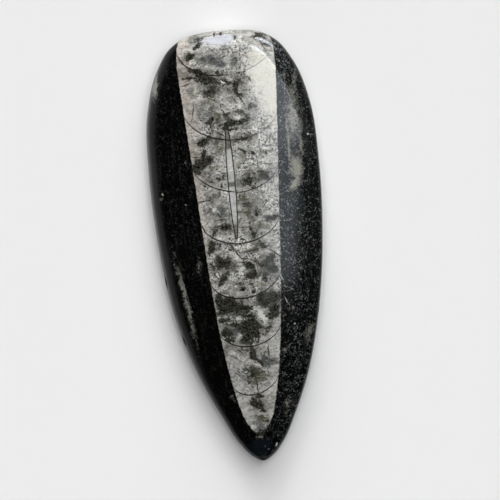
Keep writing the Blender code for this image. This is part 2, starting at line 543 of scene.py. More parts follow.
wobble = node(NOISE, {"Vector": place, "Scale": 0.6, "Detail": 2.0})
wobble = node(RANGE, {0: wobble, 3: -WOBBLE, 4: WOBBLE})
lifted = node(ADD, (lifted, wobble))


def away_from(value, level):
    """How far a value is from a level, on either side."""
    return node(ABSOLUTE, {0: node(SUBTRACT, (value, level))})


def between(value, start, end):
    """1 from a soft start to a soft end, 0 outside. Both are pairs, from where it is 0 to where it is 1."""
    return node(MULTIPLY, (node(RANGE, (value, *start)), node(RANGE, (value, *end))))


walls = 0.0
for rim_place, tilt, half_thickness, left_strength, right_strength in CHAMBER_WALLS:
    level = node(MULTIPLY_ADD, (across, -tilt, lifted))
    away = node(DIVIDE, (away_from(level, rim_place), half_thickness))
    line = node(SMOOTH, (away, 1.0 + LINE_SOFTNESS, 1.0 - LINE_SOFTNESS))
    strength = node(RANGE, (x, *SIDES_RANGE, left_strength, right_strength))
    line = node(MULTIPLY, (line, strength))
    walls = node(MAXIMUM, (walls, line))
print(len(CHAMBER_WALLS), "chamber walls, the third in two halves")

# %% [markdown]
# ## Grains
#
# Both minerals are mosaics of grains, which break up every colour and every edge in the stone. Noise of a
# few sizes stands for them. A fine and a middle size make the sparkle inside an area, and a coarse one full
# of detail frays its edge.

# %% Grains, from a quarter of a millimetre up
GRAIN_STRENGTH = 0.75
FINE_SHARE = 1.4
GRAINS_IN_EDGES = 0.55
SPOTS_PER_PERIOD = 0.8
NOISE_RANGE = (0.3, 0.7, -0.5, 0.5)


def grain(size_mm, roughness, distortion=0.0, at=None, detail=3.0):
    """Noise whose spots are about this large, spread to between -0.5 and 0.5."""
    spots = node(NOISE, {
        "Vector": at or place, "Scale": SPOTS_PER_PERIOD / size_mm, "Detail": detail, "Roughness": roughness,
        "Distortion": distortion})
    return node(RANGE, (spots, *NOISE_RANGE))


fine_grain = grain(0.27, 0.5, 0.3, detail=1.0)
middle_grain = grain(0.42, 0.65, 0.6)
grains = node(MULTIPLY_ADD, (fine_grain, FINE_SHARE, middle_grain))
grains = node(MULTIPLY, (grains, GRAIN_STRENGTH))
ragged = grain(0.85, 0.72, 0.8, detail=5.0)
fraying = node(MULTIPLY_ADD, (grains, GRAINS_IN_EDGES, ragged))

# %% [markdown]
# ## The tube
#
# A thin tube, the siphuncle, ran through all the chambers. The section grazes it, so it shows only in two
# chambers, as a spindle of two dark lines. Clear calcite fills its middle, and mud its ends and the place
# where it passes through a chamber wall.

# %% Spindle of the tube
TUBE_LOW = 1.0
TUBE_HIGH = 21.6
TUBE_START = (TUBE_LOW, 1.4)
TUBE_END = (TUBE_HIGH, 20.0)
TUBE_ACROSS = -0.62
TUBE_HALF_WIDTH = 0.61
TUBE_ROUNDNESS = 0.6
TUBE_LINE = 0.11
LINE_RANGE = (1.5 * TUBE_LINE, 0.4 * TUBE_LINE)
WOBBLE_SHARE = 0.5
EDGE_SOFTNESS = 0.05
CLEAR_START = (3.4, 4.6)
CLEAR_END = (17.2, 16.8)
NECK_AT = 10.85
NECK_RANGE = (0.25, 0.55)
MUD_STRENGTH = 0.75
MILKY_RANGE = (-0.4, 0.4, 0.3, 0.85)
share = node(RANGE, (y, TUBE_LOW, TUBE_HIGH))
opposite = node(SUBTRACT, (1.0, share))
spindle = node(MULTIPLY, (share, opposite))
spindle = node(MULTIPLY, (spindle, 4.0))
spindle = node(POWER, (spindle, TUBE_ROUNDNESS))
spindle = node(MULTIPLY, (spindle, TUBE_HALF_WIDTH))
from_tube = node(MULTIPLY_ADD, (wobble, WOBBLE_SHARE, x))
from_tube = away_from(from_tube, TUBE_ACROSS)
from_line = node(SUBTRACT, (from_tube, spindle))
in_tube = node(SMOOTH, (from_line, EDGE_SOFTNESS, -EDGE_SOFTNESS))
from_line = node(ABSOLUTE, {0: from_line})
tube_lines = node(SMOOTH, (from_line, *LINE_RANGE))
along_tube = between(y, TUBE_START, TUBE_END)
tube_lines = node(MULTIPLY, (tube_lines, along_tube))
in_tube = node(MULTIPLY, (in_tube, along_tube))
clear = between(y, CLEAR_START, CLEAR_END)
from_neck = node(RANGE, (away_from(y, NECK_AT), *NECK_RANGE))
clear = node(MULTIPLY, (clear, from_neck))
clear_tube = node(MULTIPLY, (in_tube, clear))
muddy_tube = node(SUBTRACT, (in_tube, clear_tube))
muddy_tube = node(MULTIPLY, (muddy_tube, MUD_STRENGTH))
milky = node(RANGE, (grain(0.7, 0.7, 0.5), *MILKY_RANGE))
clear_tube = node(MULTIPLY, (clear_tube, milky))

# %% [markdown]
# ## Patches of colour
#
# The calcite is clear in some places and clouded with dark lime mud in others. The clouds have no rule, so
# they are listed one by one, each as an ellipse. Two tricks keep them from looking drawn: the coordinates are
# shaken by noise, which bends every outline, and the grains of the rock are added to the density of each
# cloud before it is cut off, which frays its edge along the crystals.

# %% Shaken coordinates: scale, reach in millimetres and detail of each noise that shakes them
PATCH_SHAKES = ((0.5, 0.6, 2.0), (2.1, 0.42, 3.0))
LINE_SHAKES = ((1.6, 0.25, 2.0),)


def shaken(shakes):
    """The place as seen from above, moved about by noise."""
    moved = node(VECTOR + "MULTIPLY", (place, (1.0, 1.0, 0.0)))
    for scale, reach, detail in shakes:
        shake = node(NOISE, {"Vector": place, "Scale": scale, "Detail": detail}, "Color")
        shake = node(VECTOR + "SUBTRACT", (shake, (0.5, 0.5, 0.5)))
        shake = node(VECTOR + "MULTIPLY", (shake, (2.0 * reach, 2.0 * reach, 0.0)))
        moved = node(VECTOR + "ADD", (moved, shake))
    return moved


patch_place = shaken(PATCH_SHAKES)
line_place = shaken(LINE_SHAKES)

# %% Ellipses as one density, and the density as a mask with a grained edge
SPREAD = 1.9
VEIL_RANGE = (0.0, 0.25)


def patches(at, listed):
    """Ellipses of x, y, half length, half width, turn in degrees and strength, as one soft density."""
    density = 0.0
    for along_x, along_y, half_length, half_width, turn, strength in listed:
        spot = node(MAPPING, {
            "Vector": at, "Location": (along_x, along_y, 0.0), "Rotation": (0.0, 0.0, math.radians(turn)),
            "Scale": (half_length * SPREAD, half_width * SPREAD, 1.0)}, vector_type="TEXTURE")
        spot = node("ShaderNodeTexGradient", {0: spot}, 1, gradient_type="SPHERICAL")
        spot = node(MULTIPLY, (spot, strength))
        density = node(MAXIMUM, (density, spot))
    return density


def grained(density, fray, clear_at, full_at):
    """A density broken into grains at its edge, as a mask."""
    mask = node(MULTIPLY_ADD, (fraying, fray, density))
    mask = node(SMOOTH, (mask, clear_at, full_at))
    veil = node(SMOOTH, (density, *VEIL_RANGE))
    return node(MULTIPLY, (mask, veil))


# %% Charcoal clouds in the calcite
CHARCOAL = (
    (-5.9, 33.8, 0.9, 0.45, 35, 0.95), (-4.5, 35.5, 0.7, 0.4, 20, 0.9), (-4.3, 36.6, 0.8, 0.4, 10, 0.7),
    (6.3, 36.5, 0.8, 0.45, 0, 0.8), (7.9, 34.9, 0.7, 0.3, 0, 0.7), (2.2, 36.6, 0.5, 0.4, 0, 0.45),
    (-1.3, 30.5, 0.5, 0.3, 0, 0.75), (-4.7, 30.6, 1.5, 0.55, -30, 1.0), (-6.2, 29.9, 1.3, 0.22, 0, 0.75),
    (-3.2, 29.3, 1.6, 0.6, -10, 0.95), (-0.1, 28.9, 0.9, 0.4, -25, 0.6), (-0.2, 28.3, 0.8, 0.15, 0, 0.6),
    (-2.9, 27.6, 1.1, 0.8, 60, 0.65), (1.6, 27.8, 1.2, 0.5, 80, 0.65), (2.5, 28.8, 0.6, 0.5, 0, 0.5),
    (3.9, 29.0, 0.5, 0.25, -50, 0.5), (2.0, 26.4, 0.6, 0.4, 0, 0.6), (-3.2, 22.2, 1.0, 0.8, 20, 0.55),
    (-4.8, 22.4, 0.7, 0.3, -30, 0.45), (-0.7, 23.1, 0.35, 0.25, 0, 0.85), (0.7, 21.7, 2.0, 0.42, 8, 0.85),
    (-0.9, 20.9, 0.7, 0.4, 40, 0.7), (0.3, 20.6, 1.0, 0.3, 0, 0.6), (3.9, 24.3, 1.0, 0.3, 70, 0.5),
    (4.6, 24.1, 0.6, 0.3, -45, 0.5), (-4.2, 19.3, 0.7, 0.3, 20, 0.7), (-5.2, 18.4, 0.9, 0.5, 35, 0.85),
    (2.0, 18.6, 1.0, 0.4, -5, 0.7), (0.9, 18.2, 0.3, 0.3, 0, 0.4), (1.6, 16.6, 0.5, 0.25, -15, 0.8),
    (2.3, 16.5, 0.25, 0.2, 0, 0.7), (3.7, 15.9, 0.4, 0.15, -60, 0.8), (-5.2, 16.5, 0.7, 0.4, 70, 0.95),
    (-4.3, 16.0, 0.4, 0.3, 0, 0.85), (-5.4, 15.0, 1.5, 0.8, 25, 1.0), (-6.5, 14.4, 0.9, 0.5, 0, 0.95),
    (-6.3, 13.6, 0.6, 0.35, -20, 0.9), (-2.6, 12.2, 1.2, 0.8, 10, 0.45), (-4.0, 11.4, 0.6, 0.3, 0, 0.5),
    (-2.3, 10.9, 0.25, 0.25, 0, 0.7), (2.5, 11.3, 1.2, 0.8, -5, 0.7), (4.8, 12.6, 1.0, 0.25, -15, 0.5),
    (5.4, 11.8, 0.8, 0.6, -30, 0.6), (3.4, 10.3, 0.8, 0.4, 30, 0.4), (-5.2, 10.8, 0.4, 0.2, -40, 0.6),
    (-3.6, 5.9, 1.0, 0.4, -45, 0.5), (-2.4, 3.5, 1.1, 0.4, -10, 0.65), (-1.5, 3.4, 0.5, 0.3, 0, 0.7),
    (-4.3, 2.7, 0.6, 0.2, 50, 0.7), (3.2, 5.5, 0.8, 0.4, -65, 0.5), (5.9, 4.5, 1.0, 0.4, 10, 0.8),
    (4.8, 4.1, 0.4, 0.2, 0, 0.5), (2.1, 3.0, 0.9, 0.2, -75, 0.65), (2.5, 1.9, 0.5, 0.5, 0, 0.6),
    (0.4, 1.2, 0.4, 0.15, 0, 0.8), (-5.2, 0.2, 1.0, 0.5, 70, 0.75), (-5.4, -0.5, 0.35, 0.35, 0, 0.9),
    (-3.9, 0.4, 0.4, 0.6, 0, 0.4), (-1.9, -0.3, 0.3, 0.25, 0, 0.85), (3.9, -0.2, 0.8, 0.4, -25, 0.8),
    (-3.6, -2.8, 1.6, 1.0, 0, 0.8), (-2.3, -2.5, 0.5, 0.4, 0, 0.7), (-3.8, -5.6, 1.0, 0.5, 60, 0.65),
    (-4.6, -4.75, 0.45, 0.45, 0, 0.8), (-2.6, -4.9, 0.6, 0.5, 0, 0.6), (1.2, -3.5, 1.0, 0.5, -30, 0.85),
    (0.6, -4.0, 0.4, 0.2, 0, 0.7), (0.3, -2.6, 0.6, 0.2, 0, 0.7), (1.6, -5.2, 1.3, 0.6, 10, 0.75),
    (4.6, -2.9, 1.0, 0.6, 45, 0.75), (3.9, -3.8, 0.9, 0.6, 0, 0.7), (5.2, -4.3, 0.7, 0.7, 0, 0.75),
    (3.7, -5.9, 0.8, 0.7, 0, 0.75), (1.2, -6.9, 0.6, 0.15, 0, 0.6), (1.8, -7.6, 0.4, 0.12, -50, 0.6),
    (1.6, -8.2, 0.35, 0.3, 0, 0.8), (-0.6, -6.6, 0.4, 0.4, 0, 0.6), (-0.5, -7.7, 0.7, 0.35, 0, 0.65),
    (3.9, -9.6, 1.9, 1.1, 5, 0.95), (4.7, -12.0, 1.4, 0.8, 80, 0.95), (-2.6, -9.9, 1.8, 0.9, -15, 0.9),
    (-4.5, -9.4, 0.6, 1.1, 0, 0.85), (-4.2, -11.0, 0.9, 0.9, 0, 0.85), (-2.0, -10.9, 1.6, 0.6, 0, 0.9),
    (0.2, -10.9, 1.2, 0.35, 0, 0.85), (0.5, -12.6, 1.0, 0.9, 0, 0.9), (-4.2, -12.8, 0.9, 0.5, -10, 0.85),
    (-2.2, -13.6, 0.8, 0.5, 0, 0.85), (0.2, -14.6, 1.7, 1.4, 0, 0.95), (-4.0, -15.2, 1.1, 0.7, -10, 0.85),
    (-0.4, -16.2, 1.1, 0.7, 0, 0.9), (-3.4, -16.3, 0.9, 0.35, -15, 0.7), (1.3, -15.6, 0.7, 1.0, 0, 0.8),
    (0.6, -17.0, 0.8, 0.4, 0, 0.7), (3.5, -14.5, 0.6, 0.35, 40, 0.8), (3.2, -15.3, 0.3, 0.2, 0, 0.8),
    (2.6, -16.0, 0.4, 0.3, 40, 0.5), (0.4, -19.0, 1.2, 0.5, -80, 0.95), (-0.9, -18.3, 0.6, 0.3, -30, 0.7),
    (1.5, -20.9, 0.9, 0.2, -55, 0.8), (0.0, -22.4, 0.7, 0.3, -40, 0.7), (-0.6, -23.8, 0.35, 0.35, 0, 0.6),
    (1.1, -26.7, 0.6, 0.4, 0, 0.75), (0.3, -28.0, 1.1, 0.6, -50, 0.95), (1.2, -28.9, 0.6, 0.3, -35, 0.85),
    (1.5, -31.0, 0.5, 0.2, 0, 0.6), (0.4, -33.5, 1.6, 0.65, 0, 0.95),
)
charcoal = grained(patches(patch_place, CHARCOAL), 0.5, 0.22, 0.4)
print(len(CHARCOAL), "charcoal clouds")

# %% Muddy areas, where dark grains are thick between the crystals
MUDDY = (
    (-3.6, 29.9, 4.2, 1.3, -8, 0.9), (1.6, 27.8, 1.7, 2.0, 0, 0.8), (-2.6, 28.0, 1.8, 1.6, 0, 0.75),
    (-2.4, 33.0, 2.1, 0.9, -15, 0.8), (1.7, 32.3, 0.9, 1.1, 0, 0.7), (-4.4, 36.8, 1.3, 0.7, 10, 0.85),
    (-6.4, 33.9, 1.3, 0.5, 30, 0.8), (6.7, 36.3, 0.9, 0.7, 0, 0.8), (7.8, 34.9, 0.9, 0.5, 0, 0.7),
    (-3.8, 23.6, 2.4, 1.9, 0, 0.6), (0.8, 21.9, 3.0, 1.1, 0, 0.8), (4.2, 24.2, 1.4, 1.0, 0, 0.5),
    (-2.5, 18.4, 1.6, 1.6, 0, 0.6), (-5.3, 18.3, 1.3, 0.8, 20, 0.8), (-5.4, 15.5, 1.8, 1.5, 0, 0.85),
    (2.0, 18.7, 1.9, 0.7, 0, 0.75), (2.2, 16.4, 1.4, 0.6, 0, 0.6), (3.2, 11.6, 3.4, 1.1, 10, 0.85),
    (-3.4, 12.3, 2.4, 1.2, 0, 0.6), (-4.0, 9.4, 2.0, 0.8, 30, 0.5), (1.9, 6.5, 2.4, 2.2, 0, 0.7),
    (-3.2, 6.0, 2.0, 1.9, 0, 0.65), (-3.0, 3.2, 2.0, 0.9, 0, 0.75), (2.4, 2.6, 1.3, 1.6, 20, 0.75),
    (5.8, 4.4, 1.2, 0.6, 0, 0.85), (-4.9, 0.0, 1.3, 0.9, 0, 0.85), (3.6, 0.0, 1.6, 0.7, -15, 0.8),
    (1.9, -1.0, 1.7, 0.4, 10, 0.7), (-3.6, -3.1, 2.0, 1.5, 0, 0.85), (-3.6, -5.4, 1.2, 1.0, 60, 0.7),
    (1.4, -4.6, 1.7, 1.3, 0, 0.75), (4.3, -4.1, 1.8, 2.1, 10, 0.9), (-0.4, -7.2, 1.4, 0.8, 0, 0.7),
    (-1.6, -12.6, 3.8, 3.9, 0, 0.8), (4.2, -10.4, 1.9, 2.4, 0, 0.9), (0.4, -19.2, 1.0, 1.2, 0, 0.7),
    (2.4, -20.4, 1.5, 1.3, 0, 0.7), (-1.6, -22.4, 1.2, 1.2, 0, 0.6), (1.0, -22.9, 1.9, 1.3, -30, 0.85),
    (0.7, -28.0, 1.5, 1.3, -30, 0.7), (0.9, -30.8, 1.7, 1.1, 0, 0.7), (-3.6, -17.6, 1.3, 0.7, 0, 0.6),
)
muddy = grained(patches(patch_place, MUDDY), 0.8, 0.1, 0.6)

# %% Blue-grey and olive clouds, where the calcite is clear over dark limestone
BLUE_GREY = (
    (-3.6, 33.3, 0.6, 0.4, 0, 0.6), (-2.0, 33.0, 1.2, 0.6, -35, 0.7), (-0.6, 32.1, 0.8, 0.4, 0, 0.6),
    (1.8, 32.2, 0.9, 0.3, -60, 0.7), (-6.5, 27.9, 0.55, 0.4, 0, 0.6), (-7.3, 24.9, 0.5, 0.3, 80, 0.6),
    (-3.6, 23.4, 0.5, 0.3, 0, 0.5), (4.6, 22.7, 0.5, 0.4, 0, 0.6), (-6.9, 19.2, 0.8, 0.3, 80, 0.5),
    (-4.4, 36.2, 0.8, 0.5, 0, 0.6), (-5.7, 6.6, 0.9, 0.25, 90, 0.6), (-2.5, 6.0, 1.2, 0.8, 90, 0.6),
    (2.6, 14.4, 0.5, 0.15, 90, 0.6), (1.6, -10.2, 0.6, 0.4, 0, 0.7), (-1.0, -12.0, 1.4, 0.5, 0, 0.7),
    (-2.4, -14.9, 1.6, 0.8, 0, 0.9), (-1.5, -22.3, 1.0, 0.9, 0, 0.6), (-0.1, -24.6, 0.5, 0.3, 90, 0.5),
    (0.8, -32.4, 1.4, 0.8, 0, 0.6), (2.6, -20.6, 0.9, 0.8, 0, 0.8), (0.3, 35.0, 1.4, 0.5, 0, 0.35),
)
OLIVE = (
    (-6.0, 27.0, 1.2, 1.0, 90, 0.35), (-3.2, 25.6, 1.3, 1.0, 0, 0.4), (-2.0, 23.2, 0.5, 0.5, 0, 0.7),
    (-2.8, 18.5, 0.9, 0.8, 0, 0.5), (-1.9, 17.2, 0.8, 0.6, -30, 0.6), (0.7, 14.2, 0.6, 0.6, 0, 0.4),
    (1.6, 7.8, 1.3, 0.7, -35, 0.6), (2.3, 6.8, 0.9, 0.3, 0, 0.7), (1.4, 5.6, 1.2, 0.8, 0, 0.5),
    (-3.4, 9.3, 1.1, 0.6, 35, 0.5), (4.7, 8.3, 0.9, 0.25, -80, 0.5), (4.1, 3.0, 1.2, 0.5, 0, 0.5),
    (2.2, -0.8, 1.6, 0.3, 15, 0.6), (2.9, -7.1, 1.0, 0.5, 0, 0.5), (2.6, -19.0, 0.9, 0.8, 0, 0.4),
    (0.9, -23.0, 1.5, 1.0, -30, 0.9), (1.1, -30.4, 0.9, 0.4, -15, 0.8), (6.2, 16.1, 0.9, 0.35, 0, 0.45),
    (1.6, 15.0, 0.6, 0.5, 0, 0.4), (-3.5, 13.9, 1.0, 0.5, 10, 0.4),
)
blue_grey = grained(patches(patch_place, BLUE_GREY), 0.5, 0.1, 0.5)
olive = grained(patches(patch_place, OLIVE), 0.5, 0.1, 0.5)

# %% Clean white calcite, some of it over the clouds
WHITE = (
    (1.4, 22.5, 1.0, 0.5, 5, 0.5), (-0.5, 28.9, 0.4, 0.15, -35, 0.8), (-4.6, -4.75, 0.22, 0.22, 0, 1.0),
    (-0.9, -1.8, 1.0, 0.6, 60, 0.45), (-0.3, -4.6, 1.4, 0.6, 80, 0.45), (-1.6, -7.0, 0.4, 0.25, 0, 0.45),
    (2.4, -12.3, 2.0, 0.7, -60, 0.6), (-1.6, -12.7, 1.6, 0.3, 0, 0.4), (-1.8, -15.9, 0.7, 0.5, 90, 0.45),
    (-0.6, -31.8, 0.9, 0.5, 0, 0.4), (-1.0, -31.9, 0.22, 0.22, 0, 1.0), (4.6, 31.0, 2.2, 1.4, -30, 0.4),
    (6.5, 26.0, 1.4, 2.6, 0, 0.4), (-4.2, 6.8, 0.7, 0.2, -40, 0.5), (-3.0, 13.2, 0.8, 0.15, 30, 0.6),
)
white = grained(patches(patch_place, WHITE), 0.5, 0.15, 0.6)
print(len(BLUE_GREY) + len(OLIVE) + len(WHITE), "paler clouds")

# %% [markdown]
# ## Cracks
#
# Healed cracks and the cut edges of crystals show as hairlines. A very long thin ellipse makes a line that
# tapers to nothing at both ends, as cracks do. Each is named by its two ends, which is how one sees it.
# Cracks filled with clean calcite are pale veins, and the grains break these up.

# %% Dark hairlines and pale veins, from one end to the other, then half width and strength
HAIRLINES = (
    (-8.0, 33.4, -6.4, 31.7, 0.1, 0.8), (-7.7, 28.7, -6.5, 29.0, 0.1, 0.8),
    (-4.2, 26.8, -2.0, 25.4, 0.1, 0.6), (1.0, 26.0, 1.6, 24.9, 0.11, 0.8), (1.9, 26.2, 2.8, 24.8, 0.11, 0.9),
    (-6.0, 25.4, -6.4, 23.2, 0.11, 0.7), (-6.4, 23.2, -6.8, 22.0, 0.09, 0.6),
    (-1.3, 24.1, -0.5, 23.1, 0.1, 0.8), (-3.5, 22.4, -3.2, 20.0, 0.12, 0.6),
    (-2.4, 20.2, -1.3, 19.5, 0.16, 0.8), (2.7, 20.0, 3.8, 19.1, 0.13, 0.6),
    (5.6, 17.2, 6.5, 18.5, 0.11, 0.7), (4.8, 17.6, 4.9, 15.7, 0.1, 0.5), (4.2, 13.4, 4.3, 14.5, 0.1, 0.7),
    (4.6, 14.1, 6.8, 13.8, 0.1, 0.6), (-7.1, 16.2, -6.0, 16.0, 0.12, 0.7), (-6.6, 8.2, -4.6, 8.5, 0.13, 0.8),
    (-4.1, 4.8, -2.5, 4.9, 0.13, 0.6), (4.4, 6.3, 5.3, 7.5, 0.1, 0.8), (-1.9, 0.5, -1.1, -0.7, 0.12, 0.9),
    (-1.3, -0.5, -0.2, -2.1, 0.13, 0.95), (0.0, -2.2, 1.4, -2.4, 0.1, 0.8),
    (1.4, -2.4, 2.8, -3.3, 0.11, 0.8), (0.6, -1.2, 3.0, -0.7, 0.13, 0.6), (4.9, -1.0, 6.9, -2.5, 0.11, 0.8),
    (3.1, -17.8, 3.2, -19.6, 0.13, 0.7), (0.6, -23.6, 0.7, -25.9, 0.11, 0.8),
    (-2.0, -20.4, 0.4, -21.4, 0.1, 0.4), (1.0, -19.9, 2.0, -21.5, 0.13, 0.8),
    (3.0, -20.2, 4.5, -20.8, 0.1, 0.7), (1.0, -28.4, 1.8, -29.4, 0.12, 0.9),
    (-4.2, -18.6, -1.6, -20.2, 0.09, 0.6), (-3.4, -21.4, -1.8, -23.4, 0.09, 0.5),
    (-1.4, -20.8, -0.4, -22.4, 0.1, 0.6), (-2.2, -18.0, -1.4, -18.9, 0.13, 0.7),
    (0.1, -21.9, 2.5, -21.5, 0.08, 0.5), (2.5, -21.6, 3.1, -23.6, 0.08, 0.5),
    (2.3, -3.0, 2.7, -4.8, 0.09, 0.5), (-6.6, 4.4, -5.8, 2.7, 0.09, 0.8), (6.8, 36.6, 8.0, 35.0, 0.12, 0.6),
    (6.2, 36.4, 6.8, 35.0, 0.12, 0.8), (6.8, 34.9, 8.6, 34.8, 0.12, 0.8), (6.9, 34.6, 7.8, 33.2, 0.1, 0.5),
    (-4.6, 36.9, -1.2, 37.35, 0.1, 0.6), (-1.2, 37.35, 2.6, 37.2, 0.09, 0.5),
    (-1.55, 37.35, -1.25, 37.35, 0.3, 0.9), (-0.3, 37.2, -0.1, 37.6, 0.25, 0.9),
    (-8.6, 35.0, -6.9, 32.2, 0.1, 0.6), (-6.8, 14.1, -4.6, 11.6, 0.09, 0.5),
)
PALE_VEINS = (
    (-3.9, -18.2, -0.4, -20.6, 0.13, 0.7), (-1.6, -19.7, 3.0, -22.2, 0.14, 0.8),
    (-4.0, -20.3, -0.9, -23.2, 0.11, 0.6), (-3.2, -23.4, -0.6, -24.7, 0.12, 0.6),
    (1.0, -24.4, 3.4, -24.0, 0.12, 0.5), (-3.3, -26.6, -1.2, -29.6, 0.12, 0.5),
    (-4.7, 7.4, -3.9, 6.0, 0.15, 0.7), (-4.0, 7.2, -3.2, 5.8, 0.13, 0.6),
    (-3.4, 13.4, -1.9, 12.6, 0.12, 0.6), (3.8, 8.9, 5.6, 6.4, 0.12, 0.5), (2.2, -2.9, 2.4, -5.4, 0.2, 0.5),
    (-4.9, -12.4, -1.8, -12.3, 0.2, 0.5), (-4.4, -13.3, -0.7, -13.2, 0.16, 0.5),
    (3.5, 21.9, 6.0, 20.7, 0.14, 0.5),
)
LENGTHENED = 1.1
HAIR_RANGE = (0.1, 0.6)
VEIN_RANGE = (-0.35, 0.35, 0.1, 0.85)


def hairlines(at, listed):
    """Lines from x, y to x, y with a half width and a strength, as one mask."""
    ellipses = []
    for start_x, start_y, end_x, end_y, half_width, strength in listed:
        start = Vector((start_x, start_y))
        run = Vector((end_x, end_y)) - start
        middle = start + run * 0.5
        turn = math.degrees(math.atan2(run.y, run.x))
        ellipses.append((middle.x, middle.y, run.length * 0.5 * LENGTHENED, half_width, turn, strength))
    density = patches(at, ellipses)
    return node(SMOOTH, (density, *HAIR_RANGE))


cracks = hairlines(line_place, HAIRLINES)
veins = hairlines(patch_place, PALE_VEINS)
broken_up = node(RANGE, (grains, *VEIN_RANGE))
veins = node(MULTIPLY, (veins, broken_up))
print(len(HAIRLINES), "dark and", len(PALE_VEINS), "pale hairlines")

# %% A dark ring round the top of the tube
RING_MIDDLE = (1.1, 22.6, 0.0)
RING_HALF = (1.8, 1.0, 1.0)
RING_THICKNESS = 0.42
RING_STRENGTH = 0.7
FADE_RANGE = (23.6, 21.6, 0.6, 1.0)
ring = {"Vector": patch_place, "Location": RING_MIDDLE, "Scale": RING_HALF}
ring = node(MAPPING, ring, vector_type="TEXTURE")
ring = node(VECTOR + "LENGTH", {0: ring}, 1)
ring = node(RANGE, (away_from(ring, 1.0), RING_THICKNESS, 0.0, 0.0, RING_STRENGTH))
lower = node(RANGE, (y, *FADE_RANGE))
ring = node(MULTIPLY, (ring, lower))
ring = grained(ring, 0.5, 0.1, 0.6)

# %% [markdown]
# ## Colour of the calcite
#
# Calcite is a clear to milky crystal. In the fossil it grew as a mosaic of small grains, so the ground
# colour is a cloudy noise with grains of several sizes in it. Fine mud between the crystals darkens whole
# areas, and feathery crystals leave short strokes in it.

# %% Colours laid over one another
def painted(base, *layers, blend_type="MIX"):
    """A colour under layers of mask and colour, the lowest first. Colours are links or sRGB hex values."""
    result = linear(base) if isinstance(base, str) else base
    for mask, colour in layers:
        colour = linear(colour) if isinstance(colour, str) else colour
        result = node(MIX_COLOURS, {0: mask, 6: result, 7: colour}, 2, blend_type=blend_type)
    return result


# %% Ground colour of the calcite
BROAD_SHARE = 0.28
BLOTCH_SHARE = 0.3
GRAIN_SHARE = 0.9
FACE_RANGE = (7.86, 7.98)
GRAINS_ON_BEVEL = 0.5
BUSY_RANGE = (-0.35, 0.3, 0.45, 1.15)
WARM_RANGE = (-4.8, -7.3, 0.0, 0.45)
broad = grain(2.6, 0.55, 0.4)
blotches = grain(1.0, 0.6, 0.8)
clouds = node(MULTIPLY_ADD, (broad, BROAD_SHARE, 0.5))
clouds = node(MULTIPLY_ADD, (blotches, BLOTCH_SHARE, clouds))
on_face = node(RANGE, (z, *FACE_RANGE))
less_on_bevel = node(RANGE, {0: on_face, 3: GRAINS_ON_BEVEL})
busy = node(RANGE, (grain(2.2, 0.5, 0.6), *BUSY_RANGE))
busy = node(MULTIPLY, (busy, less_on_bevel))
busy = node(MULTIPLY, (busy, grains))
clouds = node(MULTIPLY_ADD, (busy, GRAIN_SHARE, clouds))
warm = node(SMOOTH, (across, *WARM_RANGE))
calcite = painted("#33322f", (clouds, "#d8d7d2"), (warm, "#b3a79d"))

# %% Mud between the crystals and feathery strokes, each with its range of density and of strength
MUD_RANGE = (0.05, 0.35, 0.0, 0.35)
MUDDY_STRENGTH = 0.78
FEATHER_TURN = 35.0
FEATHER_STRETCH = (0.5, 2.6, 1.0)
DARK_FEATHER_RANGE = (0.12, 0.45, 0.0, 0.65)
PALE_FEATHER_RANGE = (-0.15, -0.45, 0.0, 0.5)
mud = node(SMOOTH, (grain(1.5, 0.68, 1.0), *MUD_RANGE))
muddy = node(MULTIPLY, (muddy, MUDDY_STRENGTH))
feathers = node(MAPPING, {
    "Vector": patch_place, "Rotation": (0.0, 0.0, math.radians(FEATHER_TURN)), "Scale": FEATHER_STRETCH})
feathers = grain(0.9, 0.6, 1.2, feathers)
dark_feathers = node(RANGE, (feathers, *DARK_FEATHER_RANGE))
pale_feathers = node(RANGE, (feathers, *PALE_FEATHER_RANGE))

# %% Painted highlight on the right of the face, and painted reflection on the bevel of the blunt end
# Painted highlight: a pale cream patch where the windows' glare lies on the right of the polished face
GLARE_PATCH = ((8.2, 26.6, 9.2, 3.3, -71, 1.0),)
BEVEL_REFLECTION_PATCH = ((-0.3, 36.4, 3.0, 0.8, 0, 1.0),)
GLARE_FRAY_RANGE = (29.0, 22.0, 0.3, 0.5)
GLARE_RANGE = (0.36, 0.72, 0.0, 0.82)
BEVEL_REFLECTION_RANGE = (0.42, 0.56, 0.0, 0.7)
painted_glare = node(RANGE, (y, *GLARE_FRAY_RANGE))
painted_glare = node(MULTIPLY, (ragged, painted_glare))
painted_glare = node(ADD, (painted_glare, patches(line_place, GLARE_PATCH)))
painted_glare = node(SMOOTH, (painted_glare, *GLARE_RANGE))
painted_glare = node(MULTIPLY, (painted_glare, on_face))
# Painted reflection: a pale bluish patch where the far window shines in the bevel of the blunt end
painted_bevel_reflection = node(RANGE, (patches(line_place, BEVEL_REFLECTION_PATCH), *BEVEL_REFLECTION_RANGE))

# %% Stains soak into the calcite, then clouds, a painted highlight and a painted reflection, walls, tube and cracks cover it
charcoal_tone = node(RANGE, (grains, -0.4, 0.5))
charcoal_colour = painted("#0d0d0c", (charcoal_tone, "#43433a"))
STAINS = ((mud, "#a1a196"), (muddy, "#7d7d75"), (olive, "#b5b5a0"), (blue_grey, "#b9c0c9"))
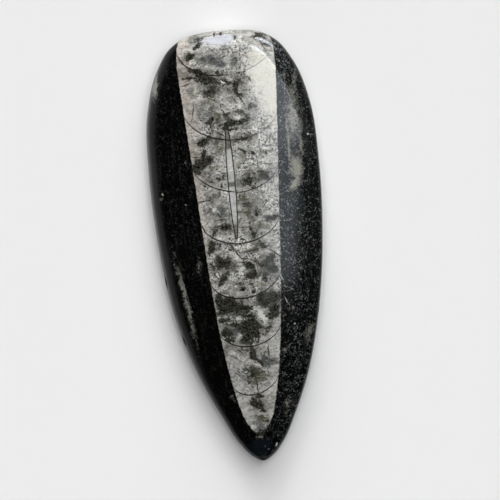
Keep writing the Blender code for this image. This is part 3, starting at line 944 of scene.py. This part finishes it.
# Among these layers are the painted highlight on the face and the painted reflection on the blunt bevel
PIGMENTS = (
    (dark_feathers, "#4f4e49"), (pale_feathers, "#c6c5c0"), (painted_glare, "#d5d2c6"), (painted_bevel_reflection, "#a9abb4"),
    (clear_tube, "#bdbebd"), (muddy_tube, "#4c4c46"), (ring, "#3a3a36"), (charcoal, charcoal_colour),
    (white, "#cbcac5"), (veins, "#cbcac5"), (walls, "#1f1a18"), (tube_lines, "#2b2724"), (cracks, "#3b322e"),
)
calcite = painted(calcite, *STAINS, blend_type="MULTIPLY")
calcite = painted(calcite, *PIGMENTS)
print("calcite painted in", len(STAINS) + len(PIGMENTS), "layers")

# %% [markdown]
# ## Colour of the limestone
#
# The black comes from soot-fine organic matter in lime mud. On the right it is full of pale shell crumbs,
# and the ghost of a second shell lies beside the fossil. The left has faint streaks along the bedding, some
# of them brown with rust.

# %% Black limestone with crumbs
GHOSTS = (
    (11.1, 21.2, 3.4, 1.2, 90, 0.62), (11.5, 25.4, 1.8, 0.8, 85, 0.55), (12.0, 28.0, 2.2, 0.35, 85, 0.45),
    (10.3, 28.6, 1.8, 0.25, 88, 0.4), (9.9, 17.5, 6.0, 0.3, 90, 0.6), (12.1, 16.6, 2.8, 0.28, 88, 0.55),
    (10.9, 12.6, 2.2, 0.95, 88, 0.85), (10.3, 10.0, 1.1, 0.6, 60, 0.9), (10.9, 3.6, 1.4, 0.4, 60, 0.3),
    (-10.5, -9.0, 6.6, 0.38, -80.5, 0.6), (-9.2, -16.5, 1.8, 0.2, -78, 0.3),
    (-7.6, -2.9, 1.5, 0.45, 90, 0.33), (7.7, -11.7, 0.5, 0.4, 0, 0.5), (10.6, -16.0, 1.6, 0.7, 60, 0.45),
    (5.7, -28.4, 1.2, 0.7, 80, 0.42), (6.2, -18.6, 0.8, 0.5, 0, 0.4), (-12.6, 29.0, 1.9, 0.4, 80, 0.95),
    (-3.9, -26.4, 0.9, 0.35, -70, 0.35), (-8.2, 15.2, 0.5, 0.2, 80, 0.4), (-13.1, 9.6, 0.3, 0.25, 0, 0.6),
    (0.4, -33.6, 0.9, 0.2, 0, 0.4),
)
ghosts = grained(patches(patch_place, GHOSTS), 0.45, 0.1, 0.8)
CLOT_SHARE = 0.55
CRUMB_POWER = 3.2
RIGHT_RANGE = (-2.0, 8.0)
LEVEL_RANGE = (0.0, 1.0, 0.08, 1.0)
CRUMB_RANGE = (-0.2, 0.5)
TIP_RANGE = (4.0, -16.0, 1.0, 0.5)
RIM_RANGE = (8.5, 12.5, 1.0, 0.45)
crumb_noise = grain(0.24, 0.55)
crumb_clots = grain(0.75, 0.6)
crumbs = node(MULTIPLY_ADD, (crumb_clots, CLOT_SHARE, crumb_noise))
crumbs = node(RANGE, (crumbs, *CRUMB_RANGE))
crumbs = node(POWER, (crumbs, CRUMB_POWER))
rightness = node(RANGE, (x, *RIGHT_RANGE))
crumb_level = node(RANGE, (rightness, *LEVEL_RANGE))
crumb_level = node(MULTIPLY, (crumb_level, node(RANGE, (y, *TIP_RANGE))))
crumb_level = node(MULTIPLY, (crumb_level, node(RANGE, (x, *RIM_RANGE))))
crumbs = node(MULTIPLY, (crumbs, crumb_level))
black = painted("#030403", (rightness, "#040505"), (crumbs, "#878a8a"))

# %% Streaks along the bedding
BEDDING_TURN = -4.0
BEDDING_STRETCH = (1.0, 0.06, 1.0)
STREAK_RANGE = (0.1, 0.5, 0.0, 0.18)
bedding = node(MAPPING, {
    "Vector": place, "Rotation": (0.0, 0.0, math.radians(BEDDING_TURN)), "Scale": BEDDING_STRETCH})
streaks = node(RANGE, (grain(0.55, 0.55, 0.0, bedding), *STREAK_RANGE))
streaks = node(MULTIPLY_ADD, (streaks, blotches, streaks))
rust = node(RANGE, (broad, -0.1, 0.4))
streak_colour = painted("#3a3a38", (rust, "#352a1f"))
black = painted(black, (streaks, streak_colour), (ghosts, "#8a8981"))

# %% Small marks: the clear facet at the tip, bright specks and scratches
FACET = ((0.3, -35.5, 1.6, 1.3, 0, 1.0),)
SPECKS = (
    (3.05, -35.3, 0.28, 0.13, 70, 1.0), (1.65, -36.0, 0.22, 0.09, 10, 0.4), (1.05, -35.4, 0.1, 0.28, 0, 0.4),
    (13.5, 18.5, 0.16, 0.16, 0, 1.0), (-12.9, 10.2, 0.16, 0.2, 0, 0.7), (12.9, -11.8, 0.3, 0.14, 60, 0.9),
    (-9.0, 8.0, 0.18, 0.18, 0, 0.5), (8.2, -14.4, 0.14, 0.14, 0, 0.8),
)
SCRATCHES = (
    (6.4, -5.6, 6.95, -6.7, 0.08, 0.6), (6.8, -9.6, 7.5, -10.9, 0.08, 0.5),
    (6.1, -7.2, 6.6, -5.4, 0.07, 0.4), (-11.3, -3.2, -9.9, -9.0, 0.12, 0.35),
)
FACET_RANGE = (0.2, 0.6, 0.0, 0.85)
SPECK_RANGE = (0.15, 0.6, 0.0, 0.9)
facet = node(SMOOTH, (patches(line_place, FACET), *FACET_RANGE))
specks = node(SMOOTH, (patches(line_place, SPECKS), *SPECK_RANGE))
scratches = hairlines(line_place, SCRATCHES)
black = painted(black, (facet, "#10161b"), (specks, "#b5b4ae"), (scratches, "#b5b4ae"))
print(len(GHOSTS), "ghosts,", len(SPECKS), "specks,", len(SCRATCHES), "scratches")

# %% [markdown]
# ## Polish
#
# Limestone takes a high polish with fine grit, but never a mirror's. Its shine is that of a clear mineral:
# index of refraction about 1.55 for both minerals, no metal in it. The steep sides are harder to reach with
# the polishing wheel, so they are duller than the face. Chips break matt, and the base is only ground. A
# soft polish scatters much of its shine, which a low specular level stands for.

# %% Finish of the surface
POLISH_RANGE = (0.0, 1.0, 0.1, 0.17)
SIDE_ROUGHNESS = 0.22
BROKEN_ROUGHNESS = 0.55
GROUND_ROUGHNESS = 0.6
STEEP_RANGE = (0.3, 0.6)
GROUND_BELOW = 0.4
REFRACTION = 1.55
SPECULAR_LEVEL = 0.12
GRIT_DEPTH = 0.1 * MM
GRIT_ON_POLISH = 0.02
GRIT_ON_BREAKS = 0.3
broken = node("ShaderNodeAttribute", result="Fac", attribute_name="broken")
colour = painted(black, (fossil, calcite))
smear = node(NOISE, {"Vector": place, "Scale": 0.6, "Detail": 3.0})
polish = node(RANGE, (smear, *POLISH_RANGE))
facing = node("ShaderNodeNewGeometry", result="Normal")
facing = node(SPLIT, {0: facing}, 0)
facing = node(ABSOLUTE, {0: facing})
side_share = node(SMOOTH, (facing, *STEEP_RANGE))
base_share = node(RANGE, (z, GROUND_BELOW, 0.0))
roughness = polish
for share, rougher in (
    (side_share, SIDE_ROUGHNESS), (broken, BROKEN_ROUGHNESS), (base_share, GROUND_ROUGHNESS),
):
    roughness = node(MIX, {0: share, 2: roughness, 3: rougher})
grit = node(NOISE, {"Vector": place, "Scale": 6.0, "Detail": 4.0, "Roughness": 0.7})
grit_depth = node(MIX, {0: broken, 2: GRIT_ON_POLISH, 3: GRIT_ON_BREAKS})
relief = node("ShaderNodeBump", {"Strength": grit_depth, "Distance": GRIT_DEPTH, "Height": grit})
shader = node("ShaderNodeBsdfPrincipled", {
    "IOR": REFRACTION, "Specular IOR Level": SPECULAR_LEVEL, "Metallic": 0.0, "Base Color": colour,
    "Roughness": roughness, "Normal": relief})
surface = tree.nodes.new("ShaderNodeOutputMaterial")
tree.links.new(shader, surface.inputs["Surface"])
print("finish tree:", len(tree.nodes), "nodes")

# %% [markdown]
# ## Floor, light and camera
#
# The stone lies on plain white paper in a room. Most light comes low from beyond the blunt end and from the
# ceiling, so that end casts no shadow and the tip a long soft one. Suns with a wide angle stand for these
# patches of wall and window. What shines in the polish is set apart, as windows that only the gloss sees.
# They are as blue as the sky in them.

# %% Paper floor
FLOOR_HALF = 0.6
paper = bpy.data.materials.new("white_paper")
paper.use_nodes = True
paper_shader = paper.node_tree.nodes["Principled BSDF"]
paper_shader.inputs["Base Color"].default_value = linear("#eaeaea")
paper_shader.inputs["Roughness"].default_value = 0.9
paper_shader.inputs["Specular IOR Level"].default_value = 0.0
floor_mesh = bpy.data.meshes.new("paper_floor")
CORNERS = ((-1, -1), (1, -1), (1, 1), (-1, 1))
corners = [(side_x * FLOOR_HALF, side_y * FLOOR_HALF, stone_low.z) for side_x, side_y in CORNERS]
floor_mesh.from_pydata(corners, [], [(0, 1, 2, 3)])
floor_mesh.materials.append(paper)
floor = bpy.data.objects.new("paper_floor", floor_mesh)
bpy.context.scene.collection.objects.link(floor)

# %% Pale room, seen by the camera and in the gloss of the steep sides
scene = bpy.context.scene
world = bpy.data.worlds.new("pale_room")
scene.world = world
world.use_nodes = True
world.cycles_visibility.diffuse = False
node = partial(add, world.node_tree)
upward = node("ShaderNodeTexCoord", result="Object")
upward = node(SPLIT, {0: upward}, 2)
room = node("ShaderNodeValToRGB", {0: upward})
ROOM_LIGHT = ((0.0, 0.8), (0.06, 0.35), (0.15, 0.03), (0.3, 0.0))
ramp_points = room.node.color_ramp.elements
while len(ramp_points) < len(ROOM_LIGHT):
    ramp_points.new(1.0)
for stop, (height, radiance) in zip(ramp_points, ROOM_LIGHT):
    stop.position = height
    stop.color = (radiance, radiance, radiance, 1.0)
world.node_tree.links.new(room, world.node_tree.nodes["Background"].inputs["Color"])


# %% Suns
def sun(name, azimuth, elevation, spread_angle, strength):
    """A wide soft sun, seen from the stone at this azimuth from +X and this elevation, in degrees."""
    light = bpy.data.lights.new(name, "SUN")
    light.energy = strength
    light.angle = math.radians(spread_angle)
    lamp = bpy.data.objects.new(name, light)
    level = math.cos(math.radians(elevation))
    turn = math.radians(azimuth)
    toward = Vector((level * math.cos(turn), level * math.sin(turn), math.sin(math.radians(elevation))))
    lamp.rotation_euler = toward.to_track_quat("Z", "Y").to_euler()
    lamp.visible_glossy = False
    scene.collection.objects.link(lamp)


SUNS = (
    ("low_window", 90.0, 15.0, 26.0, 2.28), ("ceiling", 0.0, 88.0, 40.0, 1.2),
    ("wall_beyond", 90.0, 32.0, 26.0, 0.85), ("upper_corner", 60.0, 50.0, 50.0, 1.15),
    ("wall_behind", 265.0, 15.0, 26.0, 0.36),
)
for entry in SUNS:
    sun(*entry)
print(len(SUNS), "suns")


# %% Windows that only shine
SKY_BLUE = (0.84, 0.91, 1.0)
SKYLIGHT_HEIGHT = 0.6


def window(name, centre, width, height, radiance):
    """A bright rectangle that faces the stone and shows only in its polish."""
    light = bpy.data.lights.new(name, "AREA")
    light.shape = "RECTANGLE"
    light.color = SKY_BLUE
    light.size = width
    light.size_y = height
    light.energy = radiance * math.pi * width * height
    lamp = bpy.data.objects.new(name, light)
    lamp.location = centre
    lamp.rotation_euler = Vector(centre).to_track_quat("Z", "Y").to_euler()
    lamp.visible_camera = False
    lamp.visible_diffuse = False
    scene.collection.objects.link(lamp)
    return lamp


def skylight(name, low_x, high_x, low_y, high_y, radiance):
    """A level bright rectangle. Its sides are given as slopes from the stone, sideways over upwards."""
    height = SKYLIGHT_HEIGHT
    centre = (0.5 * (low_x + high_x) * height, 0.5 * (low_y + high_y) * height, height)
    lamp = window(name, centre, (high_x - low_x) * height, (high_y - low_y) * height, radiance)
    lamp.rotation_euler = (0.0, 0.0, 0.0)


SKYLIGHTS = (
    ("high_window", 0.2, 1.2, 0.05, 1.2, 9.5), ("dim_window", 0.2, 0.52, -0.26, 0.05, 4.8),
    ("bright_strip", 0.7, 1.3, 0.35, 2.6, 50.0),
)
for entry in SKYLIGHTS:
    skylight(*entry)
window("far_window", (-0.02, 0.97, 0.22), 0.26, 0.32, 7.5)
print(len(SKYLIGHTS), "skylights and a far window")

# %% Camera straight above, as far away as a person's eyes
CAMERA_HEIGHT = 1.2
CAMERA_LENS = 490.0
CAMERA_TURN = -5.2
CAMERA_MIDDLE = (1.51, -0.86)
camera_data = bpy.data.cameras.new("camera_above")
camera_data.lens = CAMERA_LENS
camera_data.clip_end = 10.0
camera = bpy.data.objects.new("camera_above", camera_data)
camera.location = (CAMERA_MIDDLE[0] * MM, CAMERA_MIDDLE[1] * MM, CAMERA_HEIGHT)
camera.rotation_euler = (0.0, 0.0, math.radians(CAMERA_TURN))
scene.collection.objects.link(camera)
scene.camera = camera
scene.view_settings.view_transform = "Standard"
print("camera:", CAMERA_HEIGHT, "m up, with a", CAMERA_LENS, "mm lens")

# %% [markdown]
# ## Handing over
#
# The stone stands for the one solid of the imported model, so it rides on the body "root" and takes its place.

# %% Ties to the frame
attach(stone, "root")
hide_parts("orthoceras_stone")
